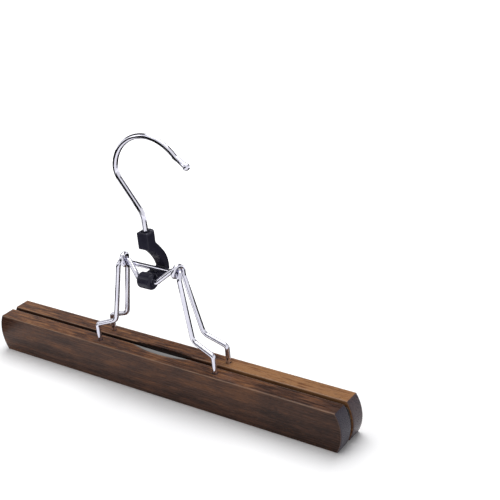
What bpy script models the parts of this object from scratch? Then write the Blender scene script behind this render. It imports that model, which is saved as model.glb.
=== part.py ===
"""Wooden trouser clamp hanger: two bars, two linings, two wire yokes, a locking lever and a swivel hook.

Metres, +Z up.  The origin is on the standing surface, midway between the jaws and midway along the bars.
+X runs along the bars and the front jaw lies towards -Y.
"""
from math import asin, atan2, cos, pi, radians, sin, sqrt, tan

import bmesh
import bpy
from mathutils import Matrix, Vector

MM = 0.001

# Wooden bars
BAR_LENGTH = 250.0 * MM
BAR_HEIGHT = 24.4 * MM
BAR_THICKNESS = 10.1 * MM
END_BOW = 3.3 * MM
EDGE_ROUND = 0.7 * MM
SCOOP_LENGTH = 46.0 * MM
FRONT_SCOOP_WIDTH = 3.4 * MM
FRONT_SCOOP_SLOPE = radians(14.0)
REAR_SCOOP_WIDTH = 1.9 * MM
REAR_SCOOP_SLOPE = radians(50.0)

# Felt linings, glued to the inner faces
LINING_THICKNESS = 1.1 * MM
LINING_MARGIN = 1.2 * MM
LINING_DROP = 3.2 * MM
GLUE_LINE = 0.1 * MM
JAW_GAP = 0.3 * MM

# Yoke wire and how it is bent
WIRE_RADIUS = 1.4 * MM
CLEARANCE = 0.3 * MM
FOOT_SPACING = 85.2 * MM
FOOT_DEPTH = 14.0 * MM
STUB_HEIGHT = 10.4 * MM
SHOULDER_X = 28.2 * MM
SHOULDER_RISE = 5.4 * MM
SHOULDER_Y = 5.0 * MM
FOOT_BEND = 2.2 * MM
SHOULDER_BEND = 4.6 * MM

# Hinge, where the rear yoke curls round the front one
HINGE_HEIGHT = 79.2 * MM
HINGE_X = 21.2 * MM
HINGE_END_X = 15.6 * MM
HINGE_BEND = 2.2 * MM
LEG_TOP_X = 21.9 * MM
LEG_TOP_Y = 3.0 * MM
LEG_TOP_DROP = 3.0 * MM
CURL_START_X = 20.3 * MM
CURL_ADVANCE = 2.8 * MM
CURL_TURN = radians(270.0)

# V of the front yoke and cross wire of the rear yoke
V_X = 6.4 * MM
V_Y = 4.3 * MM
V_DROP = 7.6 * MM
V_BEND = 3.0 * MM
CROSS_Y = 2.5 * MM
CROSS_DROP = 2.8 * MM
CROSS_BEND = 2.0 * MM

# Moulded lever
LEVER_WIDTH = 7.6 * MM
LEVER_ROUND = 0.45 * MM
BLOCK_FRONT_Y = -3.9 * MM
BLOCK_DEPTH = 6.5 * MM
BACK_BULGE = 1.8 * MM
BACK_STEP = 0.2 * MM
BLOCK_BOTTOM = 90.2 * MM
BLOCK_HEIGHT = 9.8 * MM
ARM_BACK_Y = 11.3 * MM
ARM_THICKNESS = 3.0 * MM
WEB_THICKNESS = 2.5 * MM
FOOT_RADIUS = 4.7 * MM
FOOT_LENGTH = 9.6 * MM
FOOT_ROUND = 1.1 * MM
SNAP_SLOT = 2.3 * MM
SNAP_ANGLE = radians(62.0)
FOOT_WEB_ANGLE = radians(60.0)
HEEL_RADIUS = 2.0 * MM
ARM_FILLET = 0.8 * MM
ARM_ROOT = 3.1 * MM
BULGE_ROOT = 0.8 * MM

# Swivel hook
HOOK_WIRE_RADIUS = 1.5 * MM
HOOK_SETBACK = 3.5 * MM
HOOK_HEAD_RADIUS = 2.4 * MM
HOOK_HEAD_HEIGHT = 1.5 * MM
HOOK_HEAD_REST = 2.0 * MM
HOOK_NECK_HEIGHT = 10.5 * MM
HOOK_NECK_BEND = 14.0 * MM
HOOK_LEAN = radians(36.0)
HOOK_CROWN_RADIUS = 24.2 * MM
HOOK_CROWN_X = 8.3 * MM
HOOK_CROWN_Z = 132.0 * MM
HOOK_CROWN_START = radians(165.0)
HOOK_CROWN_END = radians(44.0)
HOOK_TIP_X = 34.2 * MM
HOOK_TIP_Z = 142.6 * MM
HOOK_TIP_RUN = 2.4 * MM
HOOK_TIP_BEND = 9.0 * MM
HOOK_BALL_RADIUS = 2.0 * MM
HOOK_SEAT_RECESS = 0.9 * MM
HOOK_SEAT_RADIUS = 2.6 * MM

# Handles of the arm's back and of the arch under it, as shares of the curve's span and of its fall
ARM_BACK_HANDLES = ((0.50, 0.33), (1.00, 0.54))
ARCH_HANDLES = ((0.45, 0.10), (0.885, 0.635))

# Fineness of round shapes, and how far a cutter runs past what it cuts
ARC_STEP = radians(15.0)
TUBE_RESOLUTION = 2
ROUND_SIDES = 24
BALL_SIDES = 16
BALL_RINGS = 10
SCOOP_STEPS = 16
CUT_OVERRUN = 1.0 * MM
SAME_POINT = 0.05 * MM

# Places that follow from the sizes above
LINING_FACE = JAW_GAP / 2
BAR_INNER = LINING_FACE + LINING_THICKNESS + GLUE_LINE
BAR_MIDDLE = BAR_INNER + BAR_THICKNESS / 2
BAR_OUTER = BAR_INNER + BAR_THICKNESS
CURL_RADIUS = 2 * WIRE_RADIUS + CLEARANCE
FOOT_AXIS = Vector((0.0, -V_Y, HINGE_HEIGHT - V_DROP))
BORE_RADIUS = WIRE_RADIUS + CLEARANCE
WEB_TOP = HINGE_HEIGHT - CROSS_DROP - WIRE_RADIUS - CLEARANCE
BLOCK_TOP = BLOCK_BOTTOM + BLOCK_HEIGHT
HOOK_Y = BLOCK_FRONT_Y + HOOK_SETBACK
HEAD_BOTTOM = BLOCK_BOTTOM + HOOK_HEAD_REST
HEAD_TOP = HEAD_BOTTOM + HOOK_HEAD_HEIGHT


def clear_scene():
    """Remove whatever the file holds."""
    for obj in list(bpy.data.objects):
        bpy.data.objects.remove(obj, do_unlink=True)


def make_material(name, colour, roughness, metallic=0.0):
    """A Principled material with one colour."""
    material = bpy.data.materials.new(name)
    material.use_nodes = True
    shader = material.node_tree.nodes["Principled BSDF"]
    shader.inputs["Base Color"].default_value = (*colour, 1.0)
    shader.inputs["Roughness"].default_value = roughness
    shader.inputs["Metallic"].default_value = metallic
    return material


def add_object(name, data, material=None):
    """Link new data into the scene under a name."""
    obj = bpy.data.objects.new(name, data)
    bpy.context.scene.collection.objects.link(obj)
    if material:
        data.materials.append(material)
    return obj


def prism(name, outline, thickness, to_world, material=None):
    """Extrude a flat outline by a thickness, centred on its plane, and turn it into place."""
    mesh = bpy.data.meshes.new(name)
    bm = bmesh.new()
    ring = [bm.verts.new((u, v, -thickness / 2)) for u, v in outline]
    face = bm.faces.new(ring)
    grown = bmesh.ops.extrude_face_region(bm, geom=[face])["geom"]
    moved = [part for part in grown if isinstance(part, bmesh.types.BMVert)]
    bmesh.ops.translate(bm, verts=moved, vec=(0.0, 0.0, thickness))
    bmesh.ops.transform(bm, matrix=to_world, verts=bm.verts)
    bmesh.ops.recalc_face_normals(bm, faces=bm.faces)
    bm.to_mesh(mesh)
    bm.free()
    return add_object(name, mesh, material)


def rod(name, start, end, radius, material=None):
    """A round rod between two points."""
    start, end = Vector(start), Vector(end)
    mesh = bpy.data.meshes.new(name)
    bm = bmesh.new()
    turn = (end - start).to_track_quat("Z", "Y").to_matrix().to_4x4()
    place = Matrix.Translation((start + end) / 2) @ turn
    bmesh.ops.create_cone(bm, cap_ends=True, segments=ROUND_SIDES, radius1=radius, radius2=radius,
                          depth=(end - start).length, matrix=place)
    bm.to_mesh(mesh)
    bm.free()
    return add_object(name, mesh, material)


def boolean(obj, cutter, operation):
    """Cut, or add, one solid and hide the tool that did it."""
    step = obj.modifiers.new(cutter.name, "BOOLEAN")
    step.operation = operation
    step.solver = "EXACT"
    step.object = cutter
    cutter.hide_render = True
    cutter.display_type = "WIRE"


def round_edges(obj, width, segments=2, angle=radians(40.0)):
    """Ease the sharp edges."""
    bevel = obj.modifiers.new("eased_edges", "BEVEL")
    bevel.width = width
    bevel.segments = segments
    bevel.limit_method = "ANGLE"
    bevel.angle_limit = angle


def smooth(obj, angle=radians(35.0)):
    """Smooth shading with sharp corners kept."""
    obj.data.shade_smooth()
    obj.data.set_sharp_from_angle(angle=angle)


def arc(centre, radius, start, end, step=ARC_STEP):
    """Points along an arc in a plane, both ends included."""
    count = max(1, round(abs(end - start) / step))
    angles = [start + (end - start) * i / count for i in range(count + 1)]
    return [(centre[0] + radius * cos(a), centre[1] + radius * sin(a)) for a in angles]


def bezier(a, b, c, d, count=8):
    """Points along a cubic curve in a plane, both ends included."""
    points = []
    for i in range(count + 1):
        t = i / count
        s = 1.0 - t
        weights = (s ** 3, 3 * s * s * t, 3 * s * t * t, t ** 3)
        points.append(tuple(sum(w * p[k] for w, p in zip(weights, (a, b, c, d))) for k in range(2)))
    return points


def bend(corners):
    """Round the corners of a wire's path.  A corner is (point, bend radius); 0 keeps the point as it is."""
    path = []
    last = len(corners) - 1
    for i, (corner, radius) in enumerate(corners):
        corner = Vector(corner)
        if i in (0, last) or radius == 0.0:
            path.append(corner)
            continue
        to_start = (Vector(corners[i - 1][0]) - corner).normalized()
        to_end = (Vector(corners[i + 1][0]) - corner).normalized()
        half = to_start.angle(to_end) / 2
        middle = (to_start + to_end).normalized()
        centre = corner + middle * (radius / sin(half))
        first = corner + to_start * (radius / tan(half)) - centre
        turn = pi - 2 * half
        axis = to_start.cross(to_end)
        count = max(2, round(turn / ARC_STEP))
        for k in range(count + 1):
            path.append(centre + Matrix.Rotation(-turn * k / count, 3, axis) @ first)
    return path


def mirrored(path):
    """The other half of a wire that is the same on both sides, ending where the first half began."""
    return path + [Vector((-p.x, p.y, p.z)) for p in reversed(path)]


def wire(name, path, radius, material):
    """A round wire along a path."""
    curve = bpy.data.curves.new(name, "CURVE")
    curve.dimensions = "3D"
    curve.bevel_depth = radius
    curve.bevel_resolution = TUBE_RESOLUTION
    curve.use_fill_caps = True
    curve.twist_mode = "MINIMUM"
    spline = curve.splines.new("POLY")
    spline.points.add(len(path) - 1)
    for point, place in zip(spline.points, path):
        point.co = (*place, 1.0)
    spline.use_smooth = True
    return add_object(name, curve, material)


def bar_outline(margin=0.0, drop=0.0):
    """Outline of a bar seen from the front: flat top and bottom, bowed ends."""
    half = BAR_LENGTH / 2 - margin
    low, high = margin, BAR_HEIGHT - drop
    bow_radius = (END_BOW ** 2 + (BAR_HEIGHT / 2) ** 2) / (2 * END_BOW)
    centre_x = half - bow_radius
    low_angle = asin((low - BAR_HEIGHT / 2) / bow_radius)
    high_angle = asin((high - BAR_HEIGHT / 2) / bow_radius)
    step = radians(6.0)
    right = arc((centre_x, BAR_HEIGHT / 2), bow_radius, low_angle, high_angle, step)
    left = [(-x, z) for x, z in reversed(right)]
    return right + left


def upright(y):
    """Places a flat outline in the X-Z plane at a given depth."""
    return Matrix(((1, 0, 0, 0), (0, 0, -1, y), (0, 1, 0, 0), (0, 0, 0, 1)))


def scoop_cutter(name, side, width, slope):
    """Shallow trough across a bar's inner top edge, bowed along the bar and laid over the edge at a slope."""
    half = SCOOP_LENGTH / 2
    depth = width * sin(slope)
    radius = (depth ** 2 + half ** 2) / (2 * depth)
    reach = asin(half / radius)
    trough = arc((0.0, radius - depth), radius, -pi / 2 - reach, -pi / 2 + reach, 2 * reach / SCOOP_STEPS)
    outline = trough + [(half, BAR_THICKNESS), (-half, BAR_THICKNESS)]
    outward = (0.0, -side * sin(slope), cos(slope))
    along = (0.0, -side * cos(slope), -sin(slope))
    edge = (0.0, side * BAR_INNER, BAR_HEIGHT)
    place = Matrix(((1.0, 0.0, 0.0), outward, along)).transposed().to_4x4()
    place.translation = edge
    return prism(name, outline, 3 * BAR_THICKNESS, place)


def make_bar(name, side, wood, scoop_width, scoop_slope):
    """One jaw bar; side is -1 at the front and 1 at the rear."""
    bar = prism(name, bar_outline(), BAR_THICKNESS, upright(side * BAR_MIDDLE), wood)
    round_edges(bar, EDGE_ROUND)
    boolean(bar, scoop_cutter(name + "_scoop", side, scoop_width, scoop_slope), "DIFFERENCE")
    for hand in (-1, 1):
        x = hand * FOOT_SPACING / 2
        low = (x, side * BAR_MIDDLE, BAR_HEIGHT - FOOT_DEPTH - CLEARANCE)
        high = (x, side * BAR_MIDDLE, BAR_HEIGHT + CUT_OVERRUN)
        boolean(bar, rod(f"{name}_hole_{hand}", low, high, BORE_RADIUS), "DIFFERENCE")
    smooth(bar)
    return bar


def make_lining(name, side, felt):
    """The felt strip on a bar's inner face."""
    middle = side * (LINING_FACE + LINING_THICKNESS / 2)
    return prism(name, bar_outline(LINING_MARGIN, LINING_DROP), LINING_THICKNESS, upright(middle), felt)


def foot_and_shoulder(side):
    """The stretch that both yokes share: foot in its hole, stub and shoulder, on the left."""
    foot_x = -FOOT_SPACING / 2
    foot_y = side * BAR_MIDDLE
    stub_top = BAR_HEIGHT + STUB_HEIGHT
    return [
        ((foot_x, foot_y, BAR_HEIGHT - FOOT_DEPTH), 0.0),
        ((foot_x, foot_y, stub_top), FOOT_BEND),
        ((-SHOULDER_X, side * SHOULDER_Y, stub_top + SHOULDER_RISE), SHOULDER_BEND),
    ]


def make_front_yoke(chrome):
    """Front yoke: its legs turn in along the hinge line and drop into the V that the lever's foot holds."""
    corners = foot_and_shoulder(-1) + [
        ((-LEG_TOP_X, -LEG_TOP_Y, HINGE_HEIGHT - LEG_TOP_DROP), HINGE_BEND),
        ((-HINGE_X, 0.0, HINGE_HEIGHT), HINGE_BEND),
        ((-HINGE_END_X, 0.0, HINGE_HEIGHT), V_BEND),
        ((-V_X, *FOOT_AXIS.yz), V_BEND),
        ((0.0, *FOOT_AXIS.yz), 0.0),
    ]
    return wire("front_yoke", mirrored(bend(corners)[:-1]), WIRE_RADIUS, chrome)


def curl_point(angle):
    """A point on the rear yoke's curl; 0 is behind the hinge line and a quarter turn is on top."""
    x = -CURL_START_X + CURL_ADVANCE * angle / CURL_TURN
    return Vector((x, CURL_RADIUS * cos(angle), HINGE_HEIGHT + CURL_RADIUS * sin(angle)))


def make_rear_yoke(chrome):
    """Rear yoke: its legs curl once round the hinge line and join in the straight cross wire."""
    count = round(CURL_TURN / ARC_STEP)
    curl = [(curl_point(CURL_TURN * i / count), 0.0) for i in range(count + 1)]
    end = curl_point(CURL_TURN)
    cross_z = HINGE_HEIGHT - CROSS_DROP
    leg_top = (-CURL_START_X, CURL_RADIUS, HINGE_HEIGHT - LEG_TOP_DROP)
    corners = foot_and_shoulder(1) + [(leg_top, SHOULDER_BEND)] + curl + [
        ((end.x + WIRE_RADIUS / 2, CROSS_Y, cross_z), CROSS_BEND),
        ((0.0, CROSS_Y, cross_z), 0.0),
    ]
    return wire("rear_yoke", mirrored(bend(corners)[:-1]), WIRE_RADIUS, chrome)


def arm_curve(root, base, handles):
    """One side of the arched arm, from the block down to the web."""
    span = base[0] - root[0]
    fall = root[1] - base[1]
    leave, meet = ((root[0] + span * along, root[1] - fall * down) for along, down in handles)
    return bezier(root, leave, meet, base)


def lever_outline():
    """The lever from the side, as (y, z): block, arched arm, web, and the round foot's outline."""
    back_y = BLOCK_FRONT_Y + BLOCK_DEPTH
    arm_front = ARM_BACK_Y - ARM_THICKNESS
    foot = (FOOT_AXIS.y, FOOT_AXIS.z)
    heel = (ARM_BACK_Y - HEEL_RADIUS, WEB_TOP - WEB_THICKNESS + HEEL_RADIUS)
    fillet = (arm_front - ARM_FILLET, WEB_TOP + ARM_FILLET)
    web_above_foot = WEB_TOP - foot[1]
    web_angle = atan2(web_above_foot, sqrt(FOOT_RADIUS ** 2 - web_above_foot ** 2))
    outline = [(BLOCK_FRONT_Y, BLOCK_BOTTOM), (BLOCK_FRONT_Y, BLOCK_TOP), (back_y, BLOCK_TOP)]
    outline += arm_curve((back_y, BLOCK_BOTTOM + ARM_ROOT), (ARM_BACK_Y, fillet[1]), ARM_BACK_HANDLES)
    outline += arc(heel, HEEL_RADIUS, 0.0, -pi / 2)
    outline += arc(foot, FOOT_RADIUS, -FOOT_WEB_ANGLE, web_angle - 2 * pi)
    outline += arc(fillet, ARM_FILLET, -pi / 2, 0.0)
    arch = arm_curve((BLOCK_FRONT_Y, BLOCK_BOTTOM), (arm_front, fillet[1]), ARCH_HANDLES)
    return outline + arch[-2:0:-1]


def bulge_outline():
    """The bulging back of the block from above, rooted inside the block."""
    half = LEVER_WIDTH / 2 - LEVER_ROUND
    back_y = BLOCK_FRONT_Y + BLOCK_DEPTH
    radius = (half ** 2 + BACK_BULGE ** 2) / (2 * BACK_BULGE)
    reach = asin(half / radius)
    back = arc((0.0, back_y + BACK_BULGE - radius), radius, pi / 2 - reach, pi / 2 + reach)
    return [(-half, back_y - LEVER_ROUND), (half, back_y - LEVER_ROUND)] + back


def make_lever(plastic):
    """The black lever: one moulding, bored for the V below and for the hook above."""
    side_view = Matrix(((0, 0, 1, 0), (1, 0, 0, 0), (0, 1, 0, 0), (0, 0, 0, 1)))
    lever = prism("lever", lever_outline(), LEVER_WIDTH, side_view, plastic)
    round_edges(lever, LEVER_ROUND)
    low, high = BLOCK_BOTTOM + BULGE_ROOT, BLOCK_TOP - BACK_STEP
    middle = Matrix.Translation((0.0, 0.0, (low + high) / 2))
    boolean(lever, prism("lever_bulge", bulge_outline(), high - low, middle), "UNION")
    across = Vector((FOOT_LENGTH / 2, 0.0, 0.0))
    foot = rod("lever_foot", FOOT_AXIS - across, FOOT_AXIS + across, FOOT_RADIUS)
    round_edges(foot, FOOT_ROUND, segments=3)
    boolean(lever, foot, "UNION")
    bore = rod("lever_bore", FOOT_AXIS - 2 * across, FOOT_AXIS + 2 * across, BORE_RADIUS)
    boolean(lever, bore, "DIFFERENCE")
    half, mouth = SNAP_SLOT / 2, 2 * FOOT_RADIUS
    slot = [(0.0, -half), (mouth, -half), (mouth, half), (0.0, half)]
    turn = Matrix.Translation(FOOT_AXIS) @ Matrix.Rotation(SNAP_ANGLE, 4, "X") @ side_view
    boolean(lever, prism("lever_slot", slot, 2 * FOOT_LENGTH, turn), "DIFFERENCE")
    below, above = WEB_TOP + FOOT_RADIUS, BLOCK_TOP + CUT_OVERRUN
    rounds = (
        ("lever_hook_hole", below, above, HOOK_WIRE_RADIUS + CLEARANCE),
        ("lever_head_room", below, HEAD_TOP + CLEARANCE, HOOK_HEAD_RADIUS + CLEARANCE),
        ("lever_seat", BLOCK_TOP - HOOK_SEAT_RECESS, above, HOOK_SEAT_RADIUS),
    )
    for name, low, high, radius in rounds:
        cutter = rod(name, (0.0, HOOK_Y, low), (0.0, HOOK_Y, high), radius)
        boolean(lever, cutter, "DIFFERENCE")
    smooth(lever)
    return lever


def hook_path():
    """Centre line of the hook: shank, leaning neck, round crown and out-turned tip."""
    y = HOOK_Y
    neck = Vector((0.0, BLOCK_TOP + HOOK_NECK_HEIGHT))
    lean = Vector((-sin(HOOK_LEAN), cos(HOOK_LEAN)))
    centre = (HOOK_CROWN_X, HOOK_CROWN_Z)
    crown = arc(centre, HOOK_CROWN_RADIUS, HOOK_CROWN_START, HOOK_CROWN_END, ARC_STEP / 2)
    start = Vector(crown[0])
    heading = Vector((sin(HOOK_CROWN_START), -cos(HOOK_CROWN_START)))
    # the lean and the crown's first heading meet in the shoulder's corner
    gap = start - neck
    back = (gap.x * lean.y - gap.y * lean.x) / (heading.x * lean.y - heading.y * lean.x)
    shoulder = start - heading * back
    shoulder_bend = back / tan(lean.angle(heading) / 2)
    finish = Vector(crown[-1])
    off = Vector((sin(HOOK_CROWN_END), -cos(HOOK_CROWN_END)))
    turn_out = finish + off * HOOK_TIP_RUN
    corners = [
        ((0.0, y, HEAD_BOTTOM + HOOK_HEAD_HEIGHT / 2), 0.0),
        ((neck.x, y, neck.y), HOOK_NECK_BEND),
        ((shoulder.x, y, shoulder.y), shoulder_bend),
    ]
    corners += [((x, y, z), 0.0) for x, z in crown]
    corners += [((turn_out.x, y, turn_out.y), HOOK_TIP_BEND), ((HOOK_TIP_X, y, HOOK_TIP_Z), 0.0)]
    path = bend(corners)
    return [p for i, p in enumerate(path) if i == 0 or (p - path[i - 1]).length > SAME_POINT]


def make_hook(chrome):
    """The swivel hook with its ball tip and the peened head that holds it in the lever's block."""
    path = hook_path()
    tube = wire("hook_wire", path, HOOK_WIRE_RADIUS, chrome)
    evaluated = tube.evaluated_get(bpy.context.evaluated_depsgraph_get())
    mesh = bpy.data.meshes.new_from_object(evaluated)
    mesh.name = "hook"
    bpy.data.objects.remove(tube, do_unlink=True)
    hook = add_object("hook", mesh, chrome)
    shank_y = HOOK_Y
    head = rod("hook_head", (0, shank_y, HEAD_BOTTOM), (0, shank_y, HEAD_TOP), HOOK_HEAD_RADIUS)
    boolean(hook, head, "UNION")
    ball_mesh = bpy.data.meshes.new("hook_ball")
    bm = bmesh.new()
    bmesh.ops.create_uvsphere(bm, u_segments=BALL_SIDES, v_segments=BALL_RINGS, radius=HOOK_BALL_RADIUS,
                              matrix=Matrix.Translation(path[-1]))
    bm.to_mesh(ball_mesh)
    bm.free()
    boolean(hook, add_object("hook_ball", ball_mesh), "UNION")
    smooth(hook)
    return hook


def build():
    """Make every piece."""
    clear_scene()
    wood = make_material("stained_wood", (0.075, 0.042, 0.030), 0.35)
    felt = make_material("black_felt", (0.012, 0.011, 0.012), 0.95)
    chrome = make_material("chromed_wire", (0.78, 0.78, 0.80), 0.08, 1.0)
    plastic = make_material("black_plastic", (0.018, 0.018, 0.022), 0.35)
    make_bar("front_bar", -1, wood, FRONT_SCOOP_WIDTH, FRONT_SCOOP_SLOPE)
    make_bar("rear_bar", 1, wood, REAR_SCOOP_WIDTH, REAR_SCOOP_SLOPE)
    make_lining("front_lining", -1, felt)
    make_lining("rear_lining", 1, felt)
    make_front_yoke(chrome)
    make_rear_yoke(chrome)
    make_lever(plastic)
    make_hook(chrome)


build()
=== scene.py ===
"""Looks of a wooden trouser clamp hanger: stained bars, felt linings, chromed wire and a black lever.

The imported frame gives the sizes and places.  +X runs along the bars, +Y from the front jaw to the rear
one and +Z up.  Sizes are written in millimetres and kept in metres.
"""

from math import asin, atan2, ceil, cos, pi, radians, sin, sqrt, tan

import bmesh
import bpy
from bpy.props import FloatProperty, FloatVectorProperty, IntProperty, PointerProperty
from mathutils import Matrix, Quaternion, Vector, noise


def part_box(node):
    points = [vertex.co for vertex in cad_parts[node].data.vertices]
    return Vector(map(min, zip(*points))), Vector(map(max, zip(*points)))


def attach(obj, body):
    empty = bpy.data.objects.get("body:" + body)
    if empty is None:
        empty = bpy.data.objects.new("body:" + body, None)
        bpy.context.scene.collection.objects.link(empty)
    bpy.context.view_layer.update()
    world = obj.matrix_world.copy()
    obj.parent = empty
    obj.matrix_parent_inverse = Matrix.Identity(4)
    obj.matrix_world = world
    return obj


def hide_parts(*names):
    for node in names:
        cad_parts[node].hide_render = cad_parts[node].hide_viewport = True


bl_info = {
    "name": "Clamp Hanger Looks",
    "version": (1, 0, 0),
    "blender": (4, 5, 0),
    "location": "3D View > Sidebar > Hanger",
    "description": "Builds the visible pieces of a wooden trouser clamp hanger round its packed frame",
    "category": "Add Mesh",
}

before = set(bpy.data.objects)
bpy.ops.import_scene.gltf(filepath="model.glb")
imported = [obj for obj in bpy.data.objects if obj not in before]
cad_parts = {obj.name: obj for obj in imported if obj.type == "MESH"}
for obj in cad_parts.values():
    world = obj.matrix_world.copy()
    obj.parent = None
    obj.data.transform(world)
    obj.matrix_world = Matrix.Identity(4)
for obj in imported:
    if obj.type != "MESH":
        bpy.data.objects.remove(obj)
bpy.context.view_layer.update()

MM = 0.001
BAR_LOW, BAR_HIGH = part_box("front_bar")
LEVER_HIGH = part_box("lever")[1]
HOOK_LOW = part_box("hook")[0]
BAR_LENGTH = BAR_HIGH.x - BAR_LOW.x
BAR_HEIGHT = BAR_HIGH.z
BAR_THICKNESS = BAR_HIGH.y - BAR_LOW.y
BAR_INNER = -BAR_HIGH.y
BAR_MIDDLE = BAR_INNER + BAR_THICKNESS / 2
UP = Vector((0.0, 0.0, 1.0))
CREASE = radians(40.0)


def linear(text):
    """An sRGB hex colour as linear red, green and blue."""
    channels = [int(text[i:i + 2], 16) / 255 for i in (1, 3, 5)]
    return tuple(c / 12.92 if c <= 0.04045 else ((c + 0.055) / 1.055) ** 2.4 for c in channels)


def size(name, description, millimetres):
    """A length that a user may change."""
    return FloatProperty(name=name, description=description, default=millimetres * MM, unit="LENGTH",
                         precision=5)


def angle(name, description, in_degrees):
    """An angle that a user may change."""
    return FloatProperty(name=name, description=description, default=radians(in_degrees), subtype="ANGLE")


def colour(name, description, text):
    """A colour that a user may change, given as sRGB hex."""
    return FloatVectorProperty(name=name, description=description, default=linear(text), subtype="COLOR",
                               min=0.0, max=1.0)


class WoodSettings(bpy.types.PropertyGroup):
    """Sizes and stain of the two bars."""

    end_bow: size("End bow", "How far the bars' ends bulge beyond their corners", 3.3)
    edge_round: size("Edge round", "Radius sanded on every edge", 0.7)
    scoop_length: size("Scoop length", "Length of the finger scoop along the bars", 46.0)
    front_scoop_width: size("Front scoop width", "Width of the scoop across the front bar's top", 4.4)
    front_scoop_depth: size("Front scoop depth", "Depth of the front scoop at the gap", 0.66)
    rear_scoop_width: size("Rear scoop width", "Width of the scoop across the rear bar's top", 1.0)
    rear_scoop_depth: size("Rear scoop depth", "Depth of the rear scoop at the gap", 2.2)
    scoop_soften: size("Scoop rim", "Depth over which the scoop's rim is sanded soft", 0.12)
    hole_gap: size("Hole gap", "Gap round a wire foot in its hole", 0.12)
    hole_flare: size("Hole flare", "Width of the flare at a hole's mouth", 0.25)
    dark: colour("Dark stain", "Stain in the late wood and the pores", "#2f1d17")
    middle: colour("Middle stain", "Stain over most of the wood", "#482f24")
    light: colour("Light stain", "Stain in the light streaks", "#69442c")
    pale: colour("Pale stain", "Stain over the palest sapwood", "#916845")
    # the pale edge colour is partly stain worn thin and partly a painted highlight on the rounded edges
    edge: colour("Sanded edge and highlight", "Wood where the stain is rubbed thin on the edges", "#a68b78")
    # the bluish end colour is partly dark end-grain stain and partly a painted sheen
    end_grain_and_sheen: colour("End grain and sheen", "Stain soaked into the bars' ends", "#383541")


class FeltSettings(bpy.types.PropertyGroup):
    """Sizes and colour of the linings."""

    cell: size("Cell", "Size of the lining's mesh cells", 1.1)
    unevenness: size("Unevenness", "How far the felt's face wanders", 0.05)
    nap: colour("Felt", "Colour of the felt", "#1d1a1c")


class WireSettings(bpy.types.PropertyGroup):
    """Sizes of the two wire yokes."""

    sides: IntProperty(name="Sides", description="Faces round a wire", default=32, min=8, max=64)
    radius: size("Yoke wire", "Radius of the yokes' spring wire", 1.4)
    foot_spacing: size("Foot spacing", "Distance between a yoke's two feet", 85.2)
    foot_depth: size("Foot depth", "How deep a foot stands in its bar", 14.0)
    stub_height: size("Stub height", "Height of the first bend above the bar", 10.4)
    shoulder_x: size("Shoulder", "Distance of the shoulder's bend from the middle", 28.2)
    shoulder_rise: size("Shoulder rise", "How far the shoulder climbs", 5.4)
    shoulder_y: size("Shoulder depth", "Distance of the shoulder's bend from the gap's plane", 5.0)
    foot_bend: size("Foot bend", "Bend radius above a foot", 2.2)
    shoulder_bend: size("Shoulder bend", "Bend radius of a shoulder", 4.6)
    hinge_height: size("Hinge height", "Height of the line that the yokes turn about", 79.2)
    hinge_x: size("Hinge outer end", "Where the front yoke's wire joins the hinge line", 21.2)
    hinge_end_x: size("Hinge inner end", "Where the front yoke's wire leaves the hinge line", 15.6)
    hinge_bend: size("Hinge bend", "Bend radius at the top of a leg", 2.2)
    leg_top_x: size("Leg top", "Distance of a front leg's top from the middle", 21.9)
    leg_top_y: size("Leg top depth", "Distance of a front leg's top from the gap's plane", 3.0)
    leg_top_drop: size("Leg top drop", "How far a leg's top lies below the hinge line", 3.0)
    curl_start_x: size("Curl start", "Distance of the curl's start from the middle", 20.3)
    curl_advance: size("Curl advance", "How far a curl moves inwards as it turns", 2.8)
    curl_turn: angle("Curl turn", "How far a rear leg turns round the hinge line", 270.0)
    curl_gap: size("Curl gap", "Gap between a curl and the wire in it", 0.3)
    v_x: size("V half width", "Half the width of the V's flat bottom", 6.4)
    v_y: size("V depth", "How far the V's bottom lies in front of the gap's plane", 4.3)
    v_drop: size("V drop", "How far the V's bottom lies below the hinge line", 7.6)
    v_bend: size("V bend", "Bend radius of the V's corners", 3.0)
    cross_y: size("Cross wire depth", "How far the cross wire lies behind the gap's plane", 2.5)
    cross_drop: size("Cross wire drop", "How far the cross wire lies below the hinge line", 2.8)
    cross_bend: size("Cross wire bend", "Bend radius where a curl becomes the cross wire", 2.0)


class HookSettings(bpy.types.PropertyGroup):
    """Sizes of the swivel hook."""

    radius: size("Hook wire", "Radius of the hook's wire", 1.5)
    head_radius: size("Head", "Radius of the peened head inside the lever", 2.4)
    head_height: size("Head height", "Height of the peened head", 1.5)
    neck_height: size("Neck height", "Height above the block where the neck leans away", 10.5)
    neck_bend: size("Neck bend", "Bend radius of the neck", 14.0)
    lean: angle("Lean", "How far the neck leans from upright", 36.0)
    crown_radius: size("Crown", "Radius of the crown's centre line", 24.2)
    crown_x: size("Crown centre", "Where the crown's centre lies along the bars", 8.3)
    crown_z: size("Crown centre height", "Height of the crown's centre", 132.0)
    crown_start: angle("Crown start", "Where the crown begins, from +X", 165.0)
    crown_end: angle("Crown end", "Where the crown ends, from +X", 44.0)
    tip_x: size("Tip", "Where the ball lies along the bars", 34.2)
    tip_z: size("Tip height", "Height of the ball", 142.6)
    tip_run: size("Tip run", "Straight run off the crown before the tip turns out", 2.4)
    tip_bend: size("Tip bend", "Bend radius of the out-turned tip", 9.0)
    ball_radius: size("Ball", "Radius of the ball on the tip", 2.0)


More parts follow.
